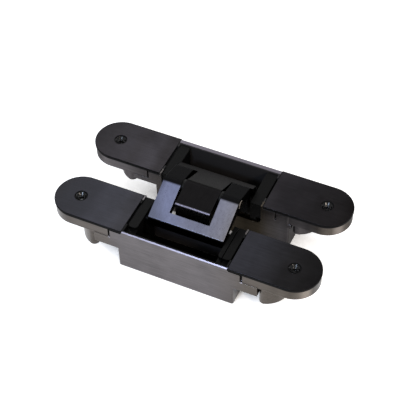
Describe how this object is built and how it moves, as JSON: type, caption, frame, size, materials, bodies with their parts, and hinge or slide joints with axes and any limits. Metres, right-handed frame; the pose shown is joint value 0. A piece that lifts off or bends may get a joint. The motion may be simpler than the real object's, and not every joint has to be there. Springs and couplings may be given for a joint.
{
  "type": "concealed door hinge",
  "caption": "Concealed hinge for a heavy flush door: housings with capped ends joined by crossing forked and tongued arms, stored wide open.",
  "frame": {"origin": "middle of the footprint on the plane under both boxes", "axes": "+X along the hinge pins, +Y from the front to the rear housing, +Z out of the visible faces"},
  "size_m": [0.16, 0.0786, 0.0413],
  "materials": {
    "housing_metal": "die-cast zinc, nickel plated and brushed, warm grey",
    "cap_metal": "dark brushed cover plate, satin charcoal",
    "fork_metal": "blue-grey brushed face on a dark body",
    "tongue_metal": "dark satin",
    "screw_steel": "blackened screw steel",
    "pin_steel": "ground steel",
    "bush_bronze": "sintered bronze",
    "guide_plastic": "black moulded plastic",
    "washer_plastic": "black plastic"
  },
  "bodies": {
    "front": {"front_housing": "housing_metal", "front_cap_left": "cap_metal", "front_cap_right": "cap_metal", "front_cap_screws": "screw_steel", "front_guide_block_left": "guide_plastic", "front_guide_block_right": "guide_plastic", "front_pivot_pin": "pin_steel", "front_spacer_sleeves": "pin_steel"},
    "tongue": {"tongue_arm": "tongue_metal", "centre_bush": "bush_bronze", "front_pivot_bush": "bush_bronze", "rear_slide_pin": "pin_steel"},
    "fork": {"fork_arm": "fork_metal", "centre_pin": "pin_steel", "centre_washers": "washer_plastic", "front_slide_pin": "pin_steel", "rear_pivot_bushes": "bush_bronze"},
    "rear": {"rear_housing": "housing_metal", "rear_cap_left": "cap_metal", "rear_cap_right": "cap_metal", "rear_cap_screws": "screw_steel", "rear_guide_block_left": "guide_plastic", "rear_guide_block_right": "guide_plastic", "rear_pivot_pin": "pin_steel", "rear_pivot_washers": "washer_plastic", "rear_spacer_sleeve": "pin_steel"}
  },
  "joints": [
    {"name": "arm_fold", "type": "hinge", "parent": "front", "child": "tongue", "pos_m": [0, -0.01313, 0.0205], "axis": [1, 0, 0], "range_deg": [0, 95.45]},
    {"name": "scissor_turn", "type": "hinge", "parent": "tongue", "child": "fork", "pos_m": [0, 0, 0.037], "axis": [1, 0, 0], "range_deg": [-10.92, 0]},
    {"name": "door_fold", "type": "hinge", "parent": "fork", "child": "rear", "pos_m": [0, 0.01313, 0.0205], "axis": [1, 0, 0], "range_deg": [0, 95.46]}
  ],
  "couplings": [
    {"joint": "scissor_turn", "follows": "arm_fold", "ratio": -0.11425},
    {"joint": "door_fold", "follows": "arm_fold", "ratio": 1}
  ]
}
